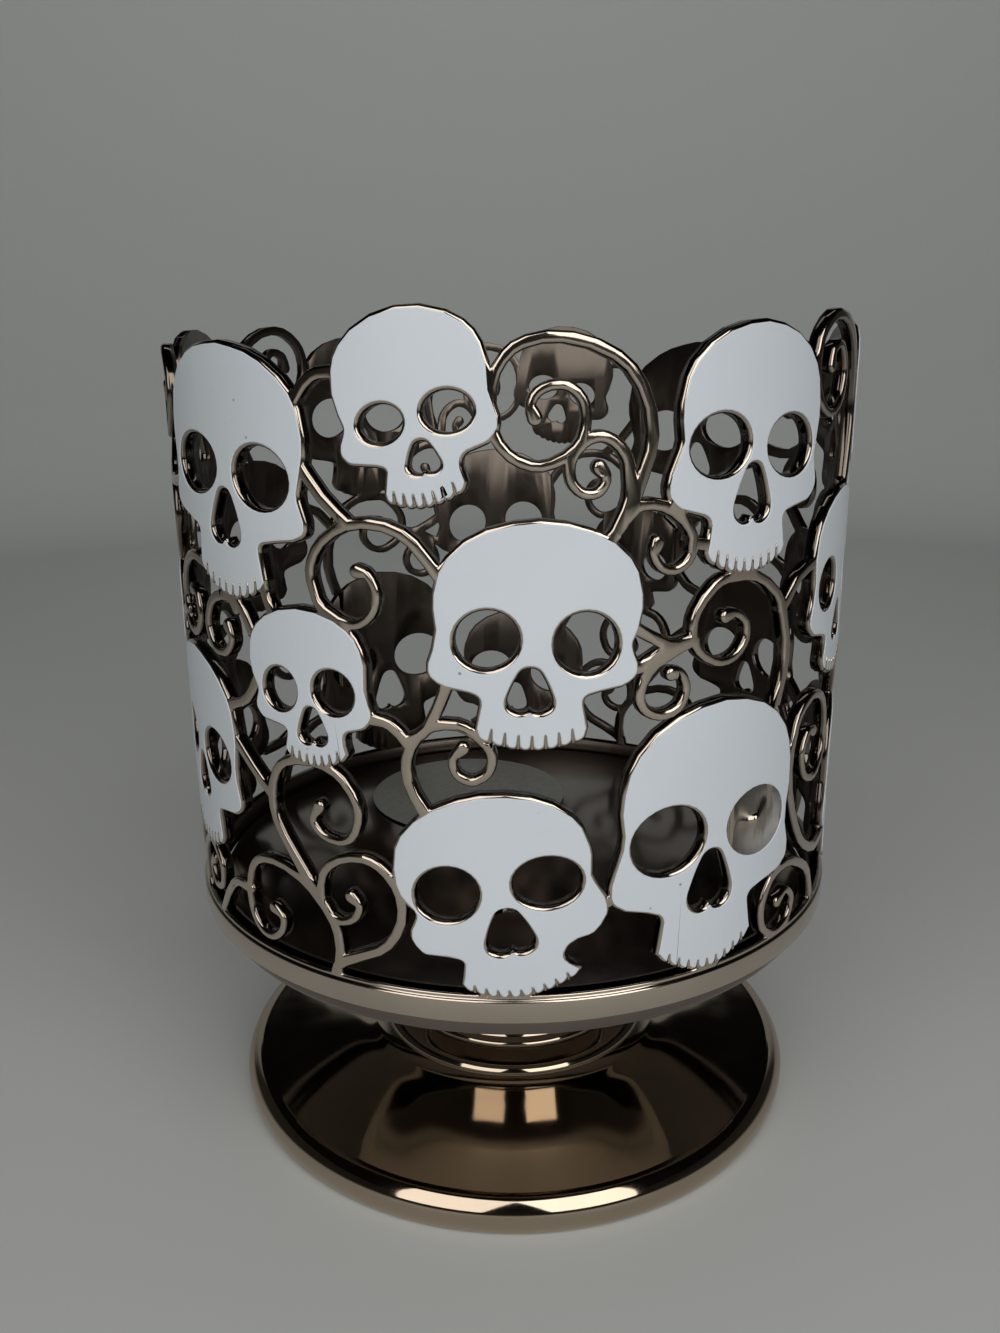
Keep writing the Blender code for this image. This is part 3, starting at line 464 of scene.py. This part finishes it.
links = [
    [(-29.5, 83), (-27, 85.6), (-25, 86.6), (-21.8, 86.8)],
    [(-29.6, 76.5), (-25.5, 71.5), (-21.6, 68.2)],
    [(50.4, 60.2), (45.3, 58.7), (43, 56.6), (40.8, 54.6)],
    [(14.8, 55.6), (20.4, 52.5), (24.4, 52.7)],
    [(14.6, 49.2), (17, 50.2), (20.6, 52.2)],
    [(-9, 48), (-11.6, 42.4), (-14.4, 40.4)],
    [(-20.8, 43), (-17.6, 42.7), (-15.8, 41.6), (-14.2, 39.8)],
    [(-47.5, 36.5), (-42.2, 32.4), (-37.6, 28.9)],
    [(-38.6, 46.6), (-42, 42.4), (-46.5, 40.6)],
    [(-56.8, 3.2), (-52.2, 9.2), (-49, 11.6), (-44.8, 12)],
    [(22.8, 65.4), (24.6, 65.2), (27, 65)],
    [(-45.2, 60.2), (-44.6, 57.6), (-43.2, 55)],
    [(-36.6, 60), (-36.2, 57.8), (-35, 55.4)],
    [(10.6, 16.2), (13.6, 18), (16.4, 19.4)],
    [(96.4, 42.4), (99, 41.6), (103, 40)],
    [(89.4, 23.6), (94.5, 27), (100, 29.8)],
    [(100.4, 48.4), (104.5, 50.6), (109.6, 51.6)],
    [(94.6, 17.4), (96.6, 20.4), (100.4, 24.4)],
]


def stripOutline(points, rootWidth, tipWidth, eyeWidth, eyeLength):
    path = smoothPath(points, 10)
    lengths = [0.0]
    for start, end in zip(path, path[1:]):
        lengths.append(lengths[-1] + (end - start).length)
    left = []
    right = []
    for index, point in enumerate(path):
        along = (path[min(index + 1, len(path) - 1)] - path[max(index - 1, 0)]).normalized()
        share = lengths[index] / lengths[-1]
        width = rootWidth + (tipWidth - rootWidth) * share
        toEnd = lengths[-1] - lengths[index]
        if toEnd < eyeLength:
            width += (eyeWidth - tipWidth) * (1 - toEnd / eyeLength) ** 0.5
        side = Vector((-along.y, along.x)) * width / 2
        left.append(point + side)
        right.append(point - side)
    cap = []
    for step in range(1, 7):
        angle = math.pi * step / 7
        cap.append(path[-1] + (Vector((-along.y, along.x)) * math.cos(angle) + along * math.sin(angle)) * eyeWidth / 2)
    turn, reach = sleeveSet["turn"], sleeveSet["reach"]
    return thinned(left, turn, reach) + cap + thinned(right, turn, reach)[::-1]


def skullPlace(skull, level, across, up):
    # a place on a skull by level, share of that level's half span and share of the skull's height
    left, right = skull[level]
    half = (right - left) / 2
    height = skull["crown"] - skull["chin"]
    slope = math.tan(math.radians(skull["lean"]))
    shift = (up - headLevel) * height * slope if level == "head" else 0.0
    return Vector(((left + right) / 2 + across * half - shift, skull["chin"] + up * height + across * half * slope))


teethSet = {
    "span": 0.95,  # of the jaw's half width
    "bulge": 0.26,
    "slitFoot": 0.60,
    "slitTop": 0.30,
    "fan": -0.10,
}


def jawGap(skull, number):
    # foot and sideways lean of the line before a tooth, of the given number from the left
    slits, rise, sag = skull["teeth"]
    share = number / (slits + 1) * 2 - 1
    foot = skullPlace(skull, "jaw", share * teethSet["span"], 0.0) + Vector((0, sag * share ** 2))
    return foot, share * teethSet["fan"] - math.tan(math.radians(skull["lean"]))


def slitOutline(skull, number, footDrop, slimmer):
    # the line between two teeth, from its right foot round its tip to its left foot
    foot, fan = jawGap(skull, number)
    rise = skull["teeth"][1]
    wide = teethSet["slitFoot"] / 2 - slimmer
    top = teethSet["slitTop"] / 2 - slimmer / 2
    tip = foot + Vector((fan * rise, rise))
    return [foot + Vector((wide, footDrop)), tip + Vector((top, -top)), tip, tip + Vector((-top, -top)),
            foot + Vector((-wide, footDrop))]


def skullOutline(skull, margin, slits):
    # the plate's outline, or the enamel's when it has a margin and slits between the teeth
    sides = []
    for across in (1, -1):
        side = smoothPath([skullPlace(skull, level, across * share, up + skull["shelf"] * (up < shelfReach))
                           for level, share, up in skullSide], 6)
        sides.append(thinned(side, sleeveSet["turn"], sleeveSet["reach"]))
    points = [(point, None) for point in sides[0]]
    teeth = skull["teeth"][0] + 1
    for number in range(teeth, 0, -1):
        start, end = jawGap(skull, number)[0], jawGap(skull, number - 1)[0]
        points.append((start, number if number < teeth else None))
        for step in (0.25, 0.5, 0.75):
            dip = teethSet["bulge"] * math.sin(math.pi * step) + 0.08
            points.append((start.lerp(end, step) - Vector((0, dip)), None))
    points.append((jawGap(skull, 0)[0], None))
    points += [(point, None) for point in sides[1][:0:-1]]
    outline = []
    for index, (here, gap) in enumerate(points):
        back = (here - points[index - 1][0]).normalized()
        ahead = (points[(index + 1) % len(points)][0] - here).normalized()
        along = (back + ahead).normalized()
        if gap is None or not slits:
            outline.append(here + Vector((along.y, -along.x)) * margin / max(0.7, along.dot(ahead)))
        else:
            outline += slitOutline(skull, gap, margin, 0.0)
    return outline


# half of a nose hole from its top to the notch at its foot, in half widths and half heights
noseShape = [(0.0, 1.0), (0.38, 0.88), (0.66, 0.46), (0.87, 0.0), (1.0, -0.40), (0.91, -0.75), (0.55, -0.97),
             (0.18, -0.95), (0.0, -0.80)]


def holes(skull, grow):
    turn = Matrix.Rotation(math.radians(skull["lean"]), 2)
    outlines = []
    for side, (x, y, halfWidth, halfHeight) in zip((-1, 1), skull["eyes"]):
        ring = []
        for step in range(28):
            angle = 2 * math.pi * step / 28
            reach = 1.0 + 0.03 * math.cos(2 * angle + side * 0.9)
            ring.append(Vector((x, y)) + turn @ Vector(((halfWidth * reach + grow) * math.cos(angle),
                                                         (halfHeight * reach + grow) * math.sin(angle))))
        outlines.append(ring)
    x, foot, top, halfWidth = skull["nose"]
    shape = [(-across, up) for across, up in noseShape[:-1]] + [(across, up) for across, up in noseShape[:0:-1]]
    ring = smoothPath([(across * (halfWidth + grow), up * ((top - foot) / 2 + grow)) for across, up in shape], 3,
                      closed=True)
    outlines.append([Vector((x, (foot + top) / 2)) + turn @ point for point in ring])
    return outlines


def shifts(outline):
    # the drawing repeats every half turn: every copy that reaches into the window round one half
    low = min(point.x for point in outline)
    high = max(point.x for point in outline)
    reach = drawnPeriod / 2 + windowMargin
    return [turn * drawnPeriod for turn in (-1, 0, 1) if low + turn * drawnPeriod < reach
            and high + turn * drawnPeriod > -reach]


def united(meshes, name):
    base = linked(name, meshes[0])
    operands = bpy.data.collections.new(name + "Operands")
    for index, mesh in enumerate(meshes[1:]):
        operands.objects.link(bpy.data.objects.new("%s%02d" % (name, index), mesh))
    union = base.modifiers.new("union", "BOOLEAN")
    union.operation = "UNION"
    union.solver = "EXACT"
    union.operand_type = "COLLECTION"
    union.collection = operands
    whole = meshOf(base, name)
    for thing in list(operands.objects):
        bpy.data.objects.remove(thing, do_unlink=True)
    bpy.data.collections.remove(operands)
    return whole


def bent(form, low, high):
    # cuts the flat form into strips and bends it round the sleeve's axis
    width = drawnPeriod * mm / sleeveSet["facets"]
    first = math.ceil(min(vert.co.x for vert in form.verts) / width - 0.001)
    last = math.floor(max(vert.co.x for vert in form.verts) / width + 0.001)
    for line in range(first, last + 1):
        bmesh.ops.bisect_plane(form, geom=form.verts[:] + form.edges[:] + form.faces[:], dist=0.004 * mm,
                               plane_co=(line * width, 0, 0), plane_no=(1, 0, 0))
    for vert in form.verts:
        angle = vert.co.x / (sleeveSet["radius"] * mm)
        radius = low * mm + vert.co.z
        vert.co = (radius * math.sin(angle), -radius * math.cos(angle), sleeveSet["bottom"] * mm + vert.co.y)


def edged(form, steps, facing):
    # rounds the edge of all faces that look forward or back, by a few insets
    for inward, up in steps:
        faces = [face for face in form.faces if face.normal.z * facing > 0.99]
        bmesh.ops.inset_region(form, faces=faces, thickness=inward * mm, depth=up * mm, use_boundary=False,
                               use_even_offset=False)


def doubled(form):
    # the half turn behind
    copied = bmesh.ops.duplicate(form, geom=form.verts[:] + form.edges[:] + form.faces[:])
    verts = [part for part in copied["geom"] if isinstance(part, bmesh.types.BMVert)]
    bmesh.ops.rotate(form, verts=verts, cent=(0, 0, 0), matrix=Matrix.Rotation(math.pi, 3, "Z"))


def toothRidges(skull, low, high):
    return [flatSlab("toothRidge", [slitOutline(skull, number, 0.05, 0.10)], low, high)
            for number in range(1, skull["teeth"][0] + 1)]


def castSleeve():
    depth = sleeveSet["front"] - sleeveSet["back"]
    frontRise = sum(up for inward, up in sleeveSet["edge"])
    backRise = sum(up for inward, up in sleeveSet["backEdge"])
    low, high = backRise, depth - frontRise
    reach = drawnPeriod / 2 + windowMargin
    drawn = []
    for skull in skulls:
        drawn.append([skullOutline(skull, 0.0, False)] + holes(skull, 0.0))
    for path in scrolls:
        drawn.append([stripOutline(path, strandSet["root"], strandSet["tip"], strandSet["eye"],
                                   strandSet["eyeLength"])])
    for path in links:
        drawn.append([stripOutline(path, strandSet["link"], strandSet["link"], strandSet["link"], 0.1)])
    band = sleeveSet["bandHeight"]
    meshes = [flatSlab("band", [[Vector((-reach - 4, 0)), Vector((reach + 4, 0)), Vector((reach + 4, band)),
                                 Vector((-reach - 4, band))]], low, high)]
    for outlines in drawn:
        for shift in shifts(outlines[0]):
            moved = [[point + Vector((shift, 0)) for point in outline] for outline in outlines]
            meshes.append(flatSlab("drawn", moved, low, high))
    mesh = united(meshes, "pattern")
    form = bmesh.new()
    form.from_mesh(mesh)
    bmesh.ops.remove_doubles(form, verts=form.verts, dist=0.02 * mm)
    bmesh.ops.dissolve_limit(form, angle_limit=math.radians(0.4), verts=form.verts, edges=form.edges)
    print("pattern united:", len(form.verts), "points,", sum(not edge.is_manifold for edge in form.edges), "open edges")
    edged(form, sleeveSet["edge"], 1)
    edged(form, sleeveSet["backEdge"], -1)
    for side in (-1, 1):
        bmesh.ops.bisect_plane(form, geom=form.verts[:] + form.edges[:] + form.faces[:], dist=0.0005 * mm,
                               plane_co=(side * drawnPeriod / 2 * mm, 0, 0), plane_no=(side, 0, 0), clear_outer=True)
    bent(form, sleeveSet["back"], high)
    doubled(form)
    bmesh.ops.remove_doubles(form, verts=form.verts, dist=0.004 * mm)
    return form


bandSet = {
    "outer": 55.0,
    "inner": 52.25,
    "height": 4.2,
    "profile": ((52.25, 0.25), (52.5, 0.0), (54.75, 0.0), (54.95, 0.12), (55.0, 0.35), (55.0, 3.2), (54.93, 3.42),
                (54.8, 3.5), (54.68, 3.56), (54.62, 3.7), (54.56, 3.95), (54.36, 4.12), (54.1, 4.2), (52.5, 4.2),
                (52.25, 3.95)),
    "steps": 176,
}


def turned(profile, steps, base=0.0):
    # a closed turned ring or solid from its half section, in millimetres
    form = bmesh.new()
    verts = [form.verts.new((radius * mm, 0.0, (base + height) * mm)) for radius, height in profile]
    edges = [form.edges.new(pair) for pair in zip(verts, verts[1:])]
    if profile[0][0] > 0 or profile[-1][0] > 0:
        edges.append(form.edges.new((verts[-1], verts[0])))
    bmesh.ops.spin(form, geom=verts + edges, cent=(0, 0, 0), axis=(0, 0, 1), angle=2 * math.pi, steps=steps,
                   use_merge=True)
    bmesh.ops.remove_doubles(form, verts=form.verts, dist=0.001 * mm)
    bmesh.ops.recalc_face_normals(form, faces=form.faces)
    return form


def joined(form, other):
    mesh = bpy.data.meshes.new("joined")
    other.to_mesh(mesh)
    other.free()
    form.from_mesh(mesh)
    bpy.data.meshes.remove(mesh)


sleeveForm = castSleeve()
joined(sleeveForm, turned(bandSet["profile"], bandSet["steps"], sleeveSet["bottom"]))
finished("piercedSleeve", sleeveForm, sleeveMetal, ["pierced_sleeve"])


enamelSet = {
    "margin": 0.46,
    "low": 54.5,
    "high": 54.74,
    "edge": ((0.04, 0.05), (0.10, 0.03)),
    "ridgeEdge": ((0.06, 0.09), (0.05, 0.05)),
    "ridgeHigh": 54.82,
}


def enamelForm():
    low = enamelSet["low"]
    high = enamelSet["high"] - sum(up for inward, up in enamelSet["edge"])
    form = bmesh.new()
    for skull in skulls:
        outlines = [skullOutline(skull, enamelSet["margin"], True)] + holes(skull, enamelSet["margin"])
        form.from_mesh(flatSlab("enamel", outlines, 0.0, high - low))
    bmesh.ops.dissolve_limit(form, angle_limit=math.radians(0.4), verts=form.verts, edges=form.edges)
    edged(form, enamelSet["edge"], 1)
    bent(form, low, high)
    bmesh.ops.dissolve_degenerate(form, dist=0.004 * mm, edges=form.edges)
    return form


def ridgeForm():
    low = enamelSet["low"]
    high = enamelSet["ridgeHigh"] - sum(up for inward, up in enamelSet["ridgeEdge"])
    form = bmesh.new()
    for skull in skulls:
        for mesh in toothRidges(skull, 0.0, high - low):
            form.from_mesh(mesh)
    bmesh.ops.dissolve_limit(form, angle_limit=math.radians(0.4), verts=form.verts, edges=form.edges)
    edged(form, enamelSet["ridgeEdge"], 1)
    bent(form, low, high)
    doubled(form)
    return form


for side in ("front", "back"):
    form = enamelForm()
    if side == "back":
        bmesh.ops.rotate(form, verts=form.verts, cent=(0, 0, 0), matrix=Matrix.Rotation(math.pi, 3, "Z"))
    nodes = ["enamel_%s_%02d" % (side, number) for number in range(1, len(skulls) + 1)]
    finished("enamel" + side.title(), form, enamelWhite, nodes, sharp=14)
finished("toothLines", ridgeForm(), sleeveMetal)


traySet = {
    "profile": ((0, 42.0), (50.9, 42.0), (51.3, 41.85), (51.45, 41.5), (51.45, 40.0), (52.2, 40.0), (52.5, 39.85),
                (52.6, 39.5), (52.6, 37.6), (52.5, 37.1), (52.1, 36.75), (51.6, 36.7), (50.9, 36.7), (50.6, 37.0),
                (50.6, 39.1), (50.1, 39.6), (6.4, 39.6), (6.0, 39.2), (6.0, 37.5), (2.3, 37.5), (2.3, 41.0), (0, 41.0)),
    "steps": 128,
}
finished("candleTray", turned(traySet["profile"], traySet["steps"]), trayMetal, ["tray"], sharp=40)

labelSet = {"radius": 19.5, "middle": (-8.7, 24.0), "bottom": 42.3, "thick": 0.2, "steps": 96}


def labelForm():
    form = bmesh.new()
    bmesh.ops.create_circle(form, cap_ends=True, radius=labelSet["radius"] * mm, segments=labelSet["steps"])
    grown = bmesh.ops.extrude_face_region(form, geom=form.faces[:])
    raised = [part for part in grown["geom"] if isinstance(part, bmesh.types.BMVert)]
    bmesh.ops.translate(form, verts=raised, vec=(0, 0, labelSet["thick"] * mm))
    bmesh.ops.recalc_face_normals(form, faces=form.faces)
    rim = [edge for edge in form.edges if abs(edge.verts[0].co.z - edge.verts[1].co.z) < 1e-7
           and edge.verts[0].co.z > 0.5 * labelSet["thick"] * mm]
    bmesh.ops.bevel(form, geom=rim, offset=0.06 * mm, offset_type="OFFSET", affect="EDGES", segments=2, profile=0.5,
                    material=-1)
    x, y = labelSet["middle"]
    bmesh.ops.translate(form, verts=form.verts, vec=(x * mm, y * mm, labelSet["bottom"] * mm))
    return form


finished("blankLabel", labelForm(), paper, ["blank_label"], sharp=40)

# half section of the pedestal in millimetres: smooth runs, joined at creases
pedestalSet = {
    "outside": [
        [(32.0, 39.3), (32.0, 37.7)],
        [(31.6, 37.3), (29.0, 35.7), (25.4, 32.0), (21.8, 26.6), (19.9, 22.0), (19.0, 18.6)],
        [(19.3, 17.9), (19.9, 16.9), (19.6, 15.6)],
        [(20.0, 14.6), (20.9, 13.6), (20.9, 12.7)],
        [(22.7, 12.0), (23.9, 11.4), (24.6, 10.5), (24.5, 9.8)],
        [(25.6, 8.9), (29.5, 7.7), (35.0, 6.9), (41.0, 6.45), (47.2, 6.25)],
        [(47.5, 6.25), (48.3, 6.05), (49.0, 5.6), (49.6, 5.0), (50.05, 4.3), (50.3, 3.5), (50.3, 2.4), (50.1, 1.4),
         (49.7, 0.6), (49.1, 0.0)],
    ],
    "inside": [(48.5, 0.0), (48.0, 2.4), (46.7, 4.4), (36.4, 4.8), (24.4, 7.4), (18.8, 9.3), (17.0, 14.8),
               (17.9, 22.9), (20.7, 29.0), (25.0, 33.6), (27.7, 37.0), (6.3, 37.3), (6.3, 39.3)],
    "steps": 144,
    "detail": 5,
}


def pedestalForm():
    profile = []
    for run in pedestalSet["outside"]:
        profile += [tuple(point) for point in smoothPath(run, pedestalSet["detail"])]
    return turned(profile + list(pedestalSet["inside"]), pedestalSet["steps"])


finished("turnedPedestal", pedestalForm(), footMetal, ["pedestal"], sharp=34)

screwSet = {
    "washer": ((2.3, 35.8), (2.5, 37.0), (9.7, 37.0), (10.0, 36.7), (10.0, 36.1), (9.7, 35.8)),
    "screw": ((0, 40.7), (1.5, 40.7), (2.0, 40.2), (2.0, 35.5), (3.5, 35.5), (3.8, 35.3), (3.8, 33.3), (3.4, 32.6),
              (2.9, 32.5), (1.9, 32.5), (1.9, 34.0), (0, 34.0)),
}
finished("steelWasher", turned(screwSet["washer"], 64), zincSteel, ["washer"], sharp=40)
finished("centreScrew", turned(screwSet["screw"], 48), zincSteel, ["centre_screw"], sharp=40)


studioSet = {
    "radius": 0.75,
    "wallHeight": 0.42,
    "cove": 0.10,
    "pale": (0.60, 0.625, 0.62),  # floor and the wall behind
    "dark": (0.05, 0.05, 0.05),  # the walls beside and in front
    "world": (0.003, 0.003, 0.003),
}


def studio():
    form = bmesh.new()
    radius, cove = studioSet["radius"], studioSet["cove"]
    profile = [(0.0, 0.0), (radius - cove, 0.0)]
    for step in range(1, 7):
        angle = math.pi / 2 * step / 6
        profile.append((radius - cove + cove * math.sin(angle), cove - cove * math.cos(angle)))
    profile.append((radius, studioSet["wallHeight"]))
    verts = [form.verts.new((across, 0.0, up)) for across, up in profile]
    edges = [form.edges.new(pair) for pair in zip(verts, verts[1:])]
    bmesh.ops.spin(form, geom=verts + edges, cent=(0, 0, 0), axis=(0, 0, 1), angle=2 * math.pi, steps=96,
                   use_merge=True)
    bmesh.ops.remove_doubles(form, verts=form.verts, dist=0.0001)
    bmesh.ops.recalc_face_normals(form, faces=form.faces)
    bmesh.ops.reverse_faces(form, faces=form.faces)
    mesh = bpy.data.meshes.new("studioFloor")
    form.to_mesh(mesh)
    form.free()
    mesh.shade_smooth()
    floor = linked("studioFloor", mesh)
    card = Finish("studioCard")
    x, y, z = card.parts()
    front = z.ramp(0.02, 0.08) * y.ramp(0.56, 0.40)
    mesh.materials.append(card.set(Base_Color=card.mixed(front, studioSet["pale"], studioSet["dark"]), Roughness=0.7))


def areaLamp(name, place, aim, width, height, power, colour=(1.0, 1.0, 1.0)):
    light = bpy.data.lights.new(name, "AREA")
    light.shape = "RECTANGLE"
    light.size = width
    light.size_y = height
    light.energy = power
    light.color = colour
    lamp = linked(name, light)
    lamp.location = place
    lamp.rotation_euler = (Vector(aim) - Vector(place)).to_track_quat("-Z", "Y").to_euler()
    return lamp


studio()
areaLamp("leftWindow", (-0.235, -0.46, 0.42), (0, 0, 0.08), 0.37, 0.60, 1.35, (1.0, 0.975, 0.94))
areaLamp("rightWindow", (0.235, -0.46, 0.42), (0, 0, 0.08), 0.37, 0.60, 1.8, (1.0, 0.975, 0.94))
areaLamp("wallWash", (0.0, 0.30, 0.62), (0, 0.75, 0.15), 0.50, 0.20, 0.5)

world = bpy.data.worlds.new("studioAir")
world.use_nodes = True
world.node_tree.nodes["Background"].inputs["Color"].default_value = (*studioSet["world"], 1.0)
bpy.context.scene.world = world

cameraSet = {"place": (-1.98, -187.05, 128.38), "pitch": 15.66, "roll": -0.583, "lens": 29.707}


def photoCamera():
    camera = bpy.data.cameras.new("photoCamera")
    camera.lens = cameraSet["lens"]
    camera.sensor_width = 36.0
    camera.clip_start = 0.01
    thing = linked("photoCamera", camera)
    turn = Matrix.Rotation(math.radians(90 - cameraSet["pitch"]), 4, "X") @ Matrix.Rotation(
        math.radians(cameraSet["roll"]), 4, "Z")
    thing.matrix_world = Matrix.Translation([value * mm for value in cameraSet["place"]]) @ turn
    bpy.context.scene.camera = thing


photoCamera()
bpy.context.scene.view_settings.view_transform = "Standard"
print("studio ready")
